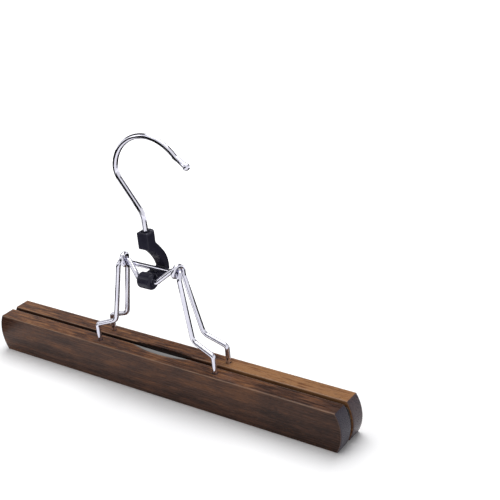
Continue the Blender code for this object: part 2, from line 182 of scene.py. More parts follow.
class LeverSettings(bpy.types.PropertyGroup):
    """Sizes and colour of the moulded lever."""

    width: size("Width", "Width of the block and arm", 7.6)
    front_y: size("Block front", "Where the block's front face lies", -3.9)
    depth: size("Block depth", "Depth of the block's flat sides", 6.5)
    bulge: size("Back bulge", "How far the block's back bulges", 1.8)
    bottom: size("Block bottom", "Height of the block's lower front edge", 90.2)
    arm_root: size("Arm root", "How far up the block's back the arm leaves", 3.1)
    bulge_root: size("Bulge root", "How far up the block the bulge begins", 0.8)
    arm_thickness: size("Arm", "Thickness of the arm at its foot", 3.0)
    web_thickness: size("Web", "Thickness of the web below the cross wire", 2.5)
    web_gap: size("Web gap", "Gap between the web and the cross wire", 0.3)
    heel_radius: size("Heel", "Radius of the arm's heel", 2.0)
    arm_fillet: size("Arm fillet", "Radius between web and arm", 0.8)
    foot_radius: size("Foot", "Radius of the round foot", 4.7)
    foot_length: size("Foot length", "Length of the round foot", 9.6)
    foot_round: size("Foot round", "Radius on the foot's ends", 1.5)
    foot_web: angle("Foot web", "Where the web's underside runs into the foot", 60.0)
    snap_slot: size("Snap slot", "Width of the slot that the V snaps through", 2.3)
    snap_angle: angle("Snap angle", "Direction of the snap slot", 62.0)
    edge_round: size("Edge round", "Radius on the moulding's edges", 0.35)
    seat_radius: size("Hook seat", "Radius of the recess round the hook", 2.6)
    seat_depth: size("Seat depth", "Depth of that recess", 0.9)
    hook_setback: size("Hook setback", "Distance of the hook behind the block's front", 3.5)
    voxel: size("Voxel", "Grain of the mesh that blends the moulding's shapes", 0.14)
    plastic: colour("Plastic", "Colour of the moulding", "#272633")


class StudioSettings(bpy.types.PropertyGroup):
    """Camera and light."""

    azimuth: angle("Camera azimuth", "Camera's direction round the object", 36.61)
    elevation: angle("Camera elevation", "Camera's height above the horizon", 24.764)
    roll: angle("Camera roll", "Camera's tilt about its own axis", -5.4)
    distance: size("Camera distance", "Distance from the camera to its target", 544.8)
    target: FloatVectorProperty(name="Camera target", description="Point on the camera's axis",
                                default=(0.0696, 0.0, 0.10196), unit="LENGTH")
    lens: FloatProperty(name="Lens", description="Focal length in millimetres", default=76.45)
    surround: FloatProperty(name="Surround", description="Strength of the even surrounding light",
                            default=0.42)
    key_power: FloatProperty(name="Key light", description="Power of the large overhead light", default=11.0)
    fill_power: FloatProperty(name="Fill light", description="Power of the front light", default=1.8)


def feed(tree, node, inputs):
    """Give a node its inputs, as values or as linked sockets."""
    for key, value in inputs.items():
        if isinstance(value, bpy.types.NodeSocket):
            tree.links.new(value, node.inputs[key])
        else:
            node.inputs[key].default_value = value


def add_node(tree, kind, inputs=None, stops=(), **settings):
    """Add a node to a tree, with its settings, its colour stops and its inputs."""
    made = tree.nodes.new(kind)
    for key, value in settings.items():
        setattr(made, key, value)
    if stops:
        ends = made.color_ramp.elements
        ends[0].position, ends[0].color = stops[0]
        ends[-1].position, ends[-1].color = stops[-1]
        for place, tint in stops[1:-1]:
            ends.new(place).color = tint
    feed(tree, made, inputs or {})
    return made


def start_material(name):
    """A material with an empty Principled shader, its tree, the shader and the object's coordinates."""
    material = bpy.data.materials.new(name)
    material.use_nodes = True
    tree = material.node_tree
    tree.nodes.clear()
    shader = add_node(tree, "ShaderNodeBsdfPrincipled")
    add_node(tree, "ShaderNodeOutputMaterial", {"Surface": shader.outputs["BSDF"]})
    place = add_node(tree, "ShaderNodeTexCoord").outputs["Object"]
    return material, tree, shader, place


def opaque(tint, gain=1.0):
    """A linear colour, brightened by a gain, with full alpha."""
    return (*[c * gain for c in tint[:3]], 1.0)


def grain_patterns(tree, place, shift, **grains):
    """Noise for each grain, given as its length along X, width, detail, roughness and distortion."""
    made = {}
    for key, (length, width, detail, roughness, distortion) in grains.items():
        grain = (length, width, width)
        moved = add_node(tree, "ShaderNodeMapping", {
            "Vector": place, "Location": [s / g for s, g in zip(shift, grain)],
            "Scale": [1 / g for g in grain],
        })
        made[key] = add_node(tree, "ShaderNodeTexNoise", {
            "Vector": moved.outputs["Vector"], "Scale": 1.0, "Detail": detail, "Roughness": roughness,
            "Distortion": distortion,
        }).outputs["Fac"]
    return made


def beech_figure(tree, place, shift):
    """Growth rings crossed by streaks and clouds, and the noises for these, for flecks and for blotches.

    A shift moves all of them, so that no two bars match.
    """
    # rays and pores are about 0.1 mm wide; they are drawn four times as wide so that they show
    noises = grain_patterns(
        tree, place, shift,
        streak=(15.0 * MM, 0.8 * MM, 5.0, 0.6, 0.25),
        fleck=(3.2 * MM, 0.42 * MM, 2.0, 0.6, 0.25),
        cloud=(26.0 * MM, 8.0 * MM, 3.0, 0.6, 0.25),
        blotch=(11.0 * MM, 2.4 * MM, 4.0, 0.6, 0.25),
    )
    ring_spacing = 2.6 * MM
    # the wave's own period is pi / 10 units at a scale of 1
    ring_scale = pi / 10 / ring_spacing
    pith_tilt = (0.0, radians(0.9), radians(1.2))
    pith_stretch = (0.3, 1.0, 1.0)
    pith = add_node(tree, "ShaderNodeMapping", {
        "Vector": place, "Location": shift, "Rotation": pith_tilt, "Scale": pith_stretch,
    })
    figure = add_node(tree, "ShaderNodeTexWave", {
        "Vector": pith.outputs["Vector"], "Scale": ring_scale, "Distortion": 4.0, "Detail": 3.0,
        "Detail Scale": 0.5, "Detail Roughness": 0.6,
    }, wave_type="RINGS", rings_direction="X").outputs["Fac"]
    for part, key in ((0.80, "streak"), (0.45, "cloud")):
        mixed = add_node(tree, "ShaderNodeMix", {"Factor": part, "A": figure, "B": noises[key]})
        figure = mixed.outputs["Result"]
    return figure, noises


def wood_shares(tree, place, noises, pale_from, pale_gain):
    """How far each change to the stain goes at each spot of a bar, and how glossy the bar is there.

    The stain is paler by a gain beyond a place on +X.
    """
    spread = add_node(tree, "ShaderNodeSeparateXYZ", {"Vector": place}).outputs
    facing = add_node(tree, "ShaderNodeTexCoord").outputs["Normal"]
    along = add_node(tree, "ShaderNodeSeparateXYZ", {"Vector": facing}).outputs["X"]
    endwise = add_node(tree, "ShaderNodeMath", {0: along}, operation="ABSOLUTE").outputs["Value"]
    # each share: what it is read from, where it starts and ends there, and what it is at both
    ranges = {
        "pale": (spread["X"], pale_from, pale_from + 25.0 * MM, 0.0, pale_gain),
        # low: painted shade, the stain darker towards the bars' bottoms and a little lighter at their tops
        "low": (spread["Z"], 0.0, BAR_HEIGHT, -0.10, 0.03),
        "top": (spread["Z"], BAR_HEIGHT - 0.9 * MM, BAR_HEIGHT - 0.1 * MM, 0.0, 1.0),
        "blotch": (noises["blotch"], 0.3, 0.7, -0.14, 0.20),
        "dark_fleck": (noises["fleck"], 0.56, 0.72, 0.0, 0.65),
        "pale_fleck": (noises["fleck"], 0.44, 0.28, 0.0, 0.45),
        # end: faces that look along the bar, which take the end-grain stain and its painted sheen
        "end": (endwise, 0.3, 0.7, 0.0, 0.85),
        "gloss": (noises["streak"], 0.3, 0.7, 0.22, 0.34),
    }
    shares = {}
    for key, (source, start, end, at_start, at_end) in ranges.items():
        shares[key] = add_node(tree, "ShaderNodeMapRange", {
            "Value": source, "From Min": start, "From Max": end, "To Min": at_start, "To Max": at_end,
        }, interpolation_type="SMOOTHSTEP" if key == "pale" else "LINEAR").outputs["Result"]
    return shares


def stained_beech(name, wood, shift, pale_from, pale_gain, lacquered_scoop):
    """Beech, stained walnut and sprayed with satin lacquer: brown streaks, dark pores, a soft clear gloss.

    Lacquer pooled in a lacquered scoop; any other scoop is dull.
    """
    material, tree, shader, place = start_material(name)
    figure, noises = beech_figure(tree, place, shift)
    shares = wood_shares(tree, place, noises, pale_from, pale_gain)
    # the tops were sanded more than the sides, so their stain is thin and blotchy
    thin = add_node(tree, "ShaderNodeMath", {0: shares["top"], 1: shares["blotch"]}, operation="MULTIPLY")
    for change in (shares["pale"], shares["low"], thin.outputs["Value"]):
        figure = add_node(tree, "ShaderNodeMath", {0: figure, 1: change}, operation="ADD").outputs["Value"]
    stain = add_node(tree, "ShaderNodeValToRGB", {"Fac": figure}, stops=(
        (0.32, opaque(wood.dark)), (0.48, opaque(wood.middle)),
        (0.64, opaque(wood.light)), (0.86, opaque(wood.pale)),
    )).outputs["Color"]
    rubbed_and_highlit, scooped = (add_node(tree, "ShaderNodeAttribute", attribute_name=word).outputs["Fac"]
                       for word in ("rubbed_and_highlit", "scooped"))
    patchy_wear_and_highlight = add_node(tree, "ShaderNodeMath", {0: rubbed_and_highlit, 1: noises["streak"]}, operation="MULTIPLY")
    # stain thins where an edge was sanded, and a painted highlight lies along the same rounded edges; the
    # ends take dark end-grain stain with a painted bluish sheen, and painted shade darkens the scoops
    layers = (
        (shares["dark_fleck"], wood.dark, 0.6),
        (shares["pale_fleck"], wood.light, 1.2),
        # edge wear and a painted highlight, patchy along the grain
        (patchy_wear_and_highlight.outputs["Value"], wood.edge, 1.0),
        # end-grain stain with a painted bluish sheen
        (shares["end"], wood.end_grain_and_sheen, 1.0),
        # painted shade: both scoops darkened past the dark stain
        (scooped, wood.dark, 0.35),
    )
    for share, tint, gain in layers:
        stain = add_node(tree, "ShaderNodeMix", {"Factor": share, "A": stain, "B": opaque(tint, gain)},
                         data_type="RGBA").outputs["Result"]
    scoop_gloss = 0.10 if lacquered_scoop else 0.75
    gloss = add_node(tree, "ShaderNodeMix", {"Factor": scooped, "A": shares["gloss"], "B": scoop_gloss})
    relief = add_node(tree, "ShaderNodeMath", {0: noises["streak"], 1: shares["dark_fleck"]},
                      operation="SUBTRACT")
    bump = add_node(tree, "ShaderNodeBump",
                    {"Height": relief.outputs["Value"], "Strength": 0.35, "Distance": 0.04 * MM})
    feed(tree, shader, {
        "Base Color": stain, "Roughness": gloss.outputs["Result"], "Normal": bump.outputs["Normal"],
        "IOR": 1.5, "Specular IOR Level": 0.16,
    })
    if lacquered_scoop:
        feed(tree, shader, {"Coat Weight": scooped, "Coat Roughness": 0.08})
    return material


def patchy_skin(name, fine, broad, tints, bump, sockets, gloss=None, matted=False):
    """A surface whose tint and gloss wander in broad patches over a fine relief.

    Both patterns are given as their size, detail, roughness and distortion.  A matted surface is darkest
    where both are low.
    """
    material, tree, shader, place = start_material(name)
    noises = grain_patterns(tree, place, (0.0, 0.0, 0.0), fine=(fine[0], *fine), broad=(broad[0], *broad))
    shade = noises["broad"]
    if matted:
        shade = add_node(tree, "ShaderNodeMath", {0: noises["fine"], 1: shade}, operation="MULTIPLY")
        shade = shade.outputs["Value"]
    tint = add_node(tree, "ShaderNodeValToRGB", {"Fac": shade},
                    stops=[(at, opaque(dye, gain)) for at, dye, gain in tints])
    strength, depth = bump
    relief = add_node(tree, "ShaderNodeBump",
                      {"Height": noises["fine"], "Strength": strength, "Distance": depth})
    feed(tree, shader, {"Base Color": tint.outputs["Color"], "Normal": relief.outputs["Normal"]})
    feed(tree, shader, sockets)
    if gloss:
        keys = ("From Min", "From Max", "To Min", "To Max")
        rough = add_node(tree, "ShaderNodeMapRange", {"Value": noises["broad"], **dict(zip(keys, gloss))})
        feed(tree, shader, {"Roughness": rough.outputs["Result"]})
    return material


def black_felt(felt):
    """Pressed black wool felt: no gloss, a matted nap with a faint sheen at the rim."""
    fibre, clump = 0.45 * MM, 3.0 * MM
    return patchy_skin(
        "pressed_wool_felt", (fibre, 4.0, 0.7, 1.2), (clump, 2.0, 0.5, 0.0),
        tints=((0.12, felt.nap, 0.5), (0.45, felt.nap, 1.8)), bump=(0.8, 0.15 * MM), matted=True,
        sockets={"Roughness": 0.95, "Sheen Weight": 0.25, "Sheen Roughness": 0.5})


def bright_chrome():
    """Drawn, bent and chrome plated spring wire: a hard mirror with a faint ripple from the drawing die."""
    ripple, haze = 1.6 * MM, 9.0 * MM
    return patchy_skin(
        "chromed_spring_wire", (ripple, 2.0, 0.5, 0.0), (haze, 3.0, 0.6, 0.0),
        tints=((0.3, linear("#e0dfe9"), 1.0), (0.7, linear("#cdccda"), 1.0)), bump=(0.25, 0.02 * MM),
        gloss=(0.35, 0.70, 0.045, 0.11), sockets={"Metallic": 1.0})


def black_abs(lever):
    """Injection-moulded black ABS: satin gloss over a faint orange-peel skin from the mould."""
    peel, flow = 0.7 * MM, 5.0 * MM
    return patchy_skin(
        "moulded_black_abs", (peel, 2.0, 0.5, 0.0), (flow, 3.0, 0.6, 0.5),
        tints=((0.3, lever.plastic, 0.85), (0.7, lever.plastic, 1.2)), bump=(0.3, 0.03 * MM),
        gloss=(0.3, 0.7, 0.16, 0.28), sockets={"IOR": 1.54, "Specular IOR Level": 0.17})


def add_object(name, data, material=None):
    """Link new data into the scene under a name."""
    obj = bpy.data.objects.new(name, data)
    bpy.context.scene.collection.objects.link(obj)
    if material:
        data.materials.append(material)
    return obj


def from_bmesh(name, bm, material=None):
    """Turn a bmesh into an object with its faces pointing out."""
    bmesh.ops.recalc_face_normals(bm, faces=bm.faces)
    mesh = bpy.data.meshes.new(name)
    bm.to_mesh(mesh)
    bm.free()
    return add_object(name, mesh, material)


def finished(obj, name, sharp=CREASE):
    """The object as its modifiers leave it, as a plain smooth-shaded mesh under its final name."""
    evaluated = obj.evaluated_get(bpy.context.evaluated_depsgraph_get())
    mesh = bpy.data.meshes.new_from_object(evaluated)
    mesh.name = name
    cutters = [m.object for m in obj.modifiers if m.type == "BOOLEAN"]
    for spent in cutters + [obj]:
        bpy.data.objects.remove(spent, do_unlink=True)
    if sharp:
        mesh.shade_smooth()
        mesh.set_sharp_from_angle(angle=sharp)
    return add_object(name, mesh)


def dress(piece, body, slot, *nodes):
    """Hang a finished piece on its body, in place of the CAD nodes that it stands for."""
    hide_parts(*nodes)
    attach(piece, body)


def boolean(obj, cutter, operation):
    """Cut, or add, one solid."""
    step = obj.modifiers.new(cutter.name, "BOOLEAN")
    step.operation = operation
    step.solver = "EXACT"
    step.object = cutter
    cutter.hide_render = True


def arc(centre, radius, start, end, step):
    """Points along an arc in a plane, both ends included."""
    count = max(1, round(abs(end - start) / step))
    turns = [start + (end - start) * i / count for i in range(count + 1)]
    return [(centre[0] + radius * cos(a), centre[1] + radius * sin(a)) for a in turns]


def bow(half, rise):
    """Radius of an arc that rises so far over half its chord."""
    return (rise ** 2 + half ** 2) / (2 * rise)


def pin_profile(length, radius, ease, steps):
    """A round pin with eased ends, as (distance along it, radius)."""
    turns = [pi / 2 * i / steps for i in range(steps + 1)]
    rim = [(ease * (1 - cos(a)), radius - ease * (1 - sin(a))) for a in turns]
    return rim + [(length - along, narrow) for along, narrow in reversed(rim)]


def skin(bm, rings):
    """Faces between closed rings of points, and one over each end."""
    count = len(rings[0])
    for low, high in zip(rings, rings[1:]):
        for k in range(count):
            bm.faces.new((low[k], low[(k + 1) % count], high[(k + 1) % count], high[k]))
    bm.faces.new(rings[0])
    bm.faces.new(rings[-1])


def prism(name, outline, thickness, to_world):
    """Extrude a flat outline by a thickness, centred on its plane, and turn it into place."""
    bm = bmesh.new()
    face = bm.faces.new([bm.verts.new((u, v, -thickness / 2)) for u, v in outline])
    grown = bmesh.ops.extrude_face_region(bm, geom=[face])["geom"]
    moved = [part for part in grown if isinstance(part, bmesh.types.BMVert)]
    bmesh.ops.translate(bm, verts=moved, vec=(0.0, 0.0, thickness))
    bmesh.ops.transform(bm, matrix=to_world, verts=bm.verts)
    return from_bmesh(name, bm)


def turned(name, profile, start, direction, sides=64):
    """Turn a profile of (distance along the axis, radius) about an axis into a closed solid."""
    bm = bmesh.new()
    place = Matrix.Translation(start) @ Vector(direction).to_track_quat("Z", "Y").to_matrix().to_4x4()
    turns = [2 * pi * k / sides for k in range(sides)]
    rings = []
    for along, radius in profile:
        spots = [Vector((radius * cos(a), radius * sin(a), along)) for a in turns]
        rings.append([bm.verts.new(place @ spot) for spot in spots])
    skin(bm, rings)
    return from_bmesh(name, bm)


def round_edges(obj, width, segments=3, limit=radians(30.0)):
    """Ease the sharp edges."""
    bevel = obj.modifiers.new("eased_edges", "BEVEL")
    bevel.width = width
    bevel.segments = segments
    bevel.limit_method = "ANGLE"
    bevel.angle_limit = limit


def soft_min(a, b, reach):
    """The smaller of two heights, blended where they are within a reach of each other."""
    near = max(reach - abs(a - b), 0.0) / reach
    return min(a, b) - near * near * reach / 4


class BarShape:
    """Where a bar's surface lies: a block with bowed ends, sanded edges and the finger scoop."""

    # runs go along the bar, and the fine and coarse steps across it
    ring_step = radians(9.0)
    rounding_steps = 5
    bow_steps = 28
    fine_step = 0.16 * MM
    coarse_step = 0.9 * MM
    fine_run = 1.0 * MM
    coarse_run = 4.0 * MM
    ramp_power = 1.25

    def __init__(self, wood, scoop_width, scoop_depth, notched):
        """Work out the bow.  A notched scoop has a steep wall, and any other is a soft ramp."""
        self.wood = wood
        self.scoop_width = scoop_width
        self.scoop_depth = scoop_depth
        self.notched = notched
        self.half_height = BAR_HEIGHT / 2
        self.bow_radius = bow(self.half_height, wood.end_bow)
        self.bow_x = BAR_LENGTH / 2 - self.bow_radius
        self.scoop_half = wood.scoop_length / 2

    def scoop_height(self, x, from_inner):
        """Height of the scoop's floor at a place along the bar and a distance from its inner face."""
        swell = 1.0 - (x / self.scoop_half) ** 2
        if swell <= 0.0 or from_inner >= self.scoop_width * swell:
            # well above the bar, so that nothing is scooped
            return BAR_HEIGHT * 2
        across = from_inner / (self.scoop_width * swell)
        fall = sqrt(1.0 - across ** 2) if self.notched else (1.0 - across) ** self.ramp_power
        return BAR_HEIGHT - self.scoop_depth * swell * fall

    def stations(self, corner_x):
        """Places along the straight edges: close together over the scoop, wider beyond it."""
        inner = self.scoop_half + 2 * self.fine_run
        fine = ceil(2 * inner / self.fine_run)
        coarse = ceil((corner_x - inner) / self.coarse_run)
        dense = [-inner + 2 * inner * i / fine for i in range(fine + 1)]
        outer = [inner + (corner_x - inner) * i / coarse for i in range(1, coarse)]
        return [-x for x in reversed(outer)] + dense + outer

    def ring(self, inset, from_inner):
        """The bar's outline in one plane, drawn in by an inset, as (x, z, how far scooped)."""
        edge = self.wood.edge_round
        reach = self.half_height - edge
        inner_bow = self.bow_radius - edge
        corner_x = self.bow_x + sqrt(inner_bow ** 2 - reach ** 2)
        turn = asin(reach / inner_bow)
        small = edge - inset
        centre, step = (self.bow_x, self.half_height), 2 * turn / self.bow_steps
        right = arc((corner_x, edge), small, -pi / 2, -turn, self.ring_step)
        right += arc(centre, self.bow_radius - inset, -turn, turn, step)[1:-1]
        right += arc((corner_x, BAR_HEIGHT - edge), small, turn, pi / 2, self.ring_step)
        top = [(x, BAR_HEIGHT - inset) for x in reversed(self.stations(corner_x))]
        left = [(-x, z) for x, z in reversed(right)]
        bottom = [(x, inset) for x in self.stations(corner_x)]
        outline = []
        for x, z in right + top + left + bottom:
            cut = self.scoop_height(x, from_inner)
            share = min(max((z - cut) / self.wood.scoop_soften, 0.0), 1.0)
            outline.append((x, soft_min(z, cut, self.wood.scoop_soften), share))
        return outline

    def slices(self):
        """Each plane across the thickness as (distance from the outer face, inset, how much edge wear and
        painted highlight it takes).
        """
        edge = self.wood.edge_round
        rounding = [pi / 2 * i / self.rounding_steps for i in range(self.rounding_steps + 1)]
        # the middle of each rounded edge takes the most wear and painted highlight
        outer = [(edge * (1 - cos(a)), edge * (1 - sin(a)), sin(2 * a) ** 3) for a in rounding]
        inner = [(BAR_THICKNESS - along, inset, wear_and_highlight) for along, inset, wear_and_highlight in reversed(outer)]
        scoop_edge = BAR_THICKNESS - edge - self.scoop_width
        plain = ceil((scoop_edge - edge) / self.coarse_step)
        cut = ceil(self.scoop_width / self.fine_step)
        flat = [(edge + (scoop_edge - edge) * i / plain, 0.0, 0.0) for i in range(1, plain)]
        flat += [(scoop_edge + self.scoop_width * i / cut, 0.0, 0.0) for i in range(cut)]
        return outer + flat + inner


def make_bar(name, side, wood, shape, material, wire):
    """One jaw bar, with holes for a wire's feet; side is -1 at the front and 1 at the rear."""
    bm = bmesh.new()
    rubbed_and_highlit = bm.verts.layers.float.new("rubbed_and_highlit")
    scooped = bm.verts.layers.float.new("scooped")
    rings = []
    for along, inset, wear_and_highlight in shape.slices():
        y = side * (BAR_INNER + BAR_THICKNESS - along)
        ring = []
        for x, z, cut in shape.ring(inset, BAR_THICKNESS - along):
            vert = bm.verts.new((x, y, z))
            # edge wear and painted highlight, fading out in the scoop
            vert[rubbed_and_highlit] = wear_and_highlight * (1.0 - cut)
            vert[scooped] = cut
            ring.append(vert)
        rings.append(ring)
    skin(bm, rings)
    weld = 0.002 * MM
    bmesh.ops.remove_doubles(bm, verts=bm.verts, dist=weld)
    bar = from_bmesh(name + "_blank", bm, material)
    hole = wire.radius + wood.hole_gap
    mouth, depth, above = hole + wood.hole_flare, wire.foot_depth, 2 * MM
    profile = [(0.0, hole), (depth - wood.hole_flare, hole), (depth, mouth), (depth + above, mouth)]
    for hand in (-1, 1):
        foot = Vector((hand * wire.foot_spacing / 2, side * BAR_MIDDLE, BAR_HEIGHT - depth))
        boolean(bar, turned(f"{name}_hole_{hand}", profile, foot, UP), "DIFFERENCE")
    bar.data.shade_smooth()
    bar.data.set_sharp_from_angle(angle=CREASE)
    weighted = bar.modifiers.new("flat_faces", "WEIGHTED_NORMAL")
    weighted.keep_sharp = True
    return finished(bar, name, sharp=None)


def make_lining(name, side, wood, felt, material):
    """The felt strip on a bar's inner face, a little uneven and soft at its rim."""
    low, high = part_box(name.replace("felt", "lining"))
    middle = (low.y + high.y) / 2
    half, height = (high.x - low.x) / 2, high.z - low.z
    bow_radius = bow(BAR_HEIGHT / 2, wood.end_bow)
    columns, rows = ceil(2 * half / felt.cell), ceil(height / felt.cell)
    bm = bmesh.new()
    grid = []
    for i in range(columns + 1):
        column = []
        for j in range(rows + 1):
            z = low.z + height * j / rows
            off = z - BAR_HEIGHT / 2
            end = half - bow_radius + sqrt(bow_radius ** 2 - off ** 2)
            column.append(bm.verts.new((end * (2 * i / columns - 1), middle, z)))
        grid.append(column)
    for i in range(columns):
        for j in range(rows):
            bm.faces.new((grid[i][j], grid[i + 1][j], grid[i + 1][j + 1], grid[i][j + 1]))
    strip = from_bmesh(name + "_blank", bm, material)
    wall = strip.modifiers.new("thickness", "SOLIDIFY")
    wall.thickness = high.y - low.y
    wall.offset = 0.0
    soft = strip.modifiers.new("soft_rim", "SUBSURF")
    soft.levels = soft.render_levels = 1
    strip = finished(strip, name)
    wander, finer, fainter = 2.5 * MM, 3, 0.5
    for vert in strip.data.vertices:
        dip = noise.noise(vert.co / wander) + fainter * noise.noise(vert.co / wander * finer)
        face = 1.0 if vert.co.y * side < middle * side else 0.0
        vert.co.y += side * face * felt.unevenness * (dip + 1.0)
    return strip


def bend(corners, step=radians(6.0), fewest=3):
    """Round the corners of a wire's path.  A corner is (point, bend radius); 0 keeps the point as it is."""
    path = []
    last = len(corners) - 1
    for i, (corner, radius) in enumerate(corners):
        corner = Vector(corner)
        if i in (0, last) or radius == 0.0:
            path.append(corner)
            continue
        to_start = (Vector(corners[i - 1][0]) - corner).normalized()
        to_end = (Vector(corners[i + 1][0]) - corner).normalized()
        half = to_start.angle(to_end) / 2
        centre = corner + (to_start + to_end).normalized() * (radius / sin(half))
        first = corner + to_start * (radius / tan(half)) - centre
        turn = pi - 2 * half
        axis = to_start.cross(to_end)
        count = max(fewest, round(turn / step))
        for k in range(count + 1):
            path.append(centre + Matrix.Rotation(-turn * k / count, 3, axis) @ first)
    return path


def mirrored(path):
    """A wire that is the same on both sides, from its first half, ending where that half began."""
    return path + [Vector((-p.x, p.y, p.z)) for p in reversed(path)]


def wire_tree():
    """Geometry nodes that draw a round wire along a path of vertices, as thick as each vertex says."""
    tree = bpy.data.node_groups.new("round_wire", "GeometryNodeTree")
    sockets = (("Path", "NodeSocketGeometry"), ("Radius", "NodeSocketFloat"), ("Sides", "NodeSocketInt"),
               ("Finish", "NodeSocketMaterial"))
    for name, kind in sockets:
        tree.interface.new_socket(name, in_out="INPUT", socket_type=kind)
    tree.interface.new_socket("Wire", in_out="OUTPUT", socket_type="NodeSocketGeometry")
    given = add_node(tree, "NodeGroupInput").outputs
    swell = add_node(tree, "GeometryNodeInputNamedAttribute", {"Name": "swell"}, data_type="FLOAT")
    line = add_node(tree, "GeometryNodeMeshToCurve", {"Mesh": given["Path"]})
    round_profile = add_node(tree, "GeometryNodeCurvePrimitiveCircle",
                             {"Resolution": given["Sides"], "Radius": given["Radius"]})
    tube = add_node(tree, "GeometryNodeCurveToMesh", {
        "Curve": line.outputs["Curve"], "Profile Curve": round_profile.outputs["Curve"],
        "Scale": swell.outputs["Attribute"], "Fill Caps": True,
    })
    real = add_node(tree, "GeometryNodeRealizeInstances", {"Geometry": tube.outputs["Mesh"]})
    coated = add_node(tree, "GeometryNodeSetMaterial",
                      {"Geometry": real.outputs["Geometry"], "Material": given["Finish"]})
    add_node(tree, "NodeGroupOutput", {"Wire": coated.outputs["Geometry"]})
    return tree


def make_wire(name, path, radius, sides, swells=None):
    """A chromed round wire along a path, as a plain mesh.  Swells scale its thickness at each point."""
    tree = bpy.data.node_groups.get("round_wire") or wire_tree()
    finish = bpy.data.materials.get("chromed_spring_wire") or bright_chrome()
    mesh = bpy.data.meshes.new(name + "_path")
    mesh.from_pydata(path, [(i, i + 1) for i in range(len(path) - 1)], [])
    layer = mesh.attributes.new("swell", "FLOAT", "POINT")
    layer.data.foreach_set("value", swells or [1.0] * len(path))
    line = add_object(name + "_path", mesh)
    nodes = line.modifiers.new("wire", "NODES")
    nodes.node_group = tree
    wanted = {"Radius": radius, "Sides": sides, "Finish": finish}
    for item in tree.interface.items_tree:
        if item.in_out == "INPUT" and item.name in wanted:
            nodes[item.identifier] = wanted[item.name]
    return finished(line, name)


def foot_and_shoulder(wire, side):
    """The stretch that both yokes share: foot in its hole, stub and shoulder, on the left."""
    foot_x = -wire.foot_spacing / 2
    stub_top = BAR_HEIGHT + wire.stub_height
    return [
        ((foot_x, side * BAR_MIDDLE, BAR_HEIGHT - wire.foot_depth), 0.0),
        ((foot_x, side * BAR_MIDDLE, stub_top), wire.foot_bend),
        ((-wire.shoulder_x, side * wire.shoulder_y, stub_top + wire.shoulder_rise), wire.shoulder_bend),
    ]


def front_yoke_path(wire):
    """The front yoke: its legs turn in along the hinge line and drop into the V for the lever's foot."""
    hinge = wire.hinge_height
    corners = foot_and_shoulder(wire, -1) + [
        ((-wire.leg_top_x, -wire.leg_top_y, hinge - wire.leg_top_drop), wire.hinge_bend),
        ((-wire.hinge_x, 0.0, hinge), wire.hinge_bend),
        ((-wire.hinge_end_x, 0.0, hinge), wire.v_bend),
        ((-wire.v_x, -wire.v_y, hinge - wire.v_drop), wire.v_bend),
        ((0.0, -wire.v_y, hinge - wire.v_drop), 0.0),
    ]
    return mirrored(bend(corners)[:-1])


def rear_yoke_path(wire):
    """The rear yoke: its legs curl once round the hinge line and join in the straight cross wire."""
    curl_radius = 2 * wire.radius + wire.curl_gap
    hinge = wire.hinge_height

    def curl_point(turn):
        """A point on the curl; 0 is behind the hinge line and a quarter turn is on top."""
        x = -wire.curl_start_x + wire.curl_advance * turn / wire.curl_turn
        return Vector((x, curl_radius * cos(turn), hinge + curl_radius * sin(turn)))

    count = 45
    curl = [(curl_point(wire.curl_turn * i / count), 0.0) for i in range(count + 1)]
    end = curl_point(wire.curl_turn)
    cross_z = hinge - wire.cross_drop
    leg_top = (-wire.curl_start_x, curl_radius, hinge - wire.leg_top_drop)
    corners = foot_and_shoulder(wire, 1) + [(leg_top, wire.shoulder_bend)] + curl + [
        ((end.x + wire.radius / 2, wire.cross_y, cross_z), wire.cross_bend),
        ((0.0, wire.cross_y, cross_z), 0.0),
    ]
    return mirrored(bend(corners)[:-1])


def hook_path(hook, y, block_top):
    """Centre line of the hook: shank, leaning neck, round crown and out-turned tip."""
    fine, shortest = radians(3.0), 0.02 * MM
    neck = Vector((0.0, block_top + hook.neck_height))
    lean = Vector((-sin(hook.lean), cos(hook.lean)))
    crown = arc((hook.crown_x, hook.crown_z), hook.crown_radius, hook.crown_start, hook.crown_end, fine)
    start = Vector(crown[0])
    heading = Vector((sin(hook.crown_start), -cos(hook.crown_start)))
    # the lean and the crown's first heading meet in the shoulder's corner
    gap = start - neck
    back = (gap.x * lean.y - gap.y * lean.x) / (heading.x * lean.y - heading.y * lean.x)
    shoulder = start - heading * back
    shoulder_bend = back / tan(lean.angle(heading) / 2)
    off = Vector((sin(hook.crown_end), -cos(hook.crown_end)))
    turn_out = Vector(crown[-1]) + off * hook.tip_run
    corners = [
        ((0.0, y, HOOK_LOW.z + hook.head_height), 0.0),
        ((neck.x, y, neck.y), hook.neck_bend),
        ((shoulder.x, y, shoulder.y), shoulder_bend),
    ]
    corners += [((x, y, z), 0.0) for x, z in crown]
    corners += [((turn_out.x, y, turn_out.y), hook.tip_bend), ((hook.tip_x, y, hook.tip_z), 0.0)]
    path = bend(corners, fine)
    return [p for i, p in enumerate(path) if i == 0 or (p - path[i - 1]).length > shortest]


def with_ends(hook, path):
    """The hook's path and swells with the peened head before its start and the ball round its end."""
    step_in, clear, thinnest, ball_steps = 0.02 * MM, 0.2 * MM, 0.02, 18
    low = path[0] - UP * hook.head_height
    head = pin_profile(hook.head_height, hook.head_radius, hook.head_height / 4, 3)
    tip = path[-1]
    heading = (path[-1] - path[-2]).normalized()
    # the ball begins where it is as thick as the wire
    first = -asin(sqrt(1 - (hook.radius / hook.ball_radius) ** 2))
    turns = [first + (pi / 2 - first) * i / ball_steps for i in range(ball_steps + 1)]
    ball = [tip + heading * hook.ball_radius * sin(a) for a in turns]
    reach = (ball[0] - tip).dot(heading) - clear
    body = [path[0] + UP * step_in] + [p for p in path[1:-1] if (p - tip).dot(heading) < reach]
    points = [low + UP * along for along, _ in head] + body + ball
    swells = [radius / hook.radius for _, radius in head] + [1.0] * len(body)
    swells += [max(hook.ball_radius * cos(a) / hook.radius, thinnest) for a in turns]
    return points, swells


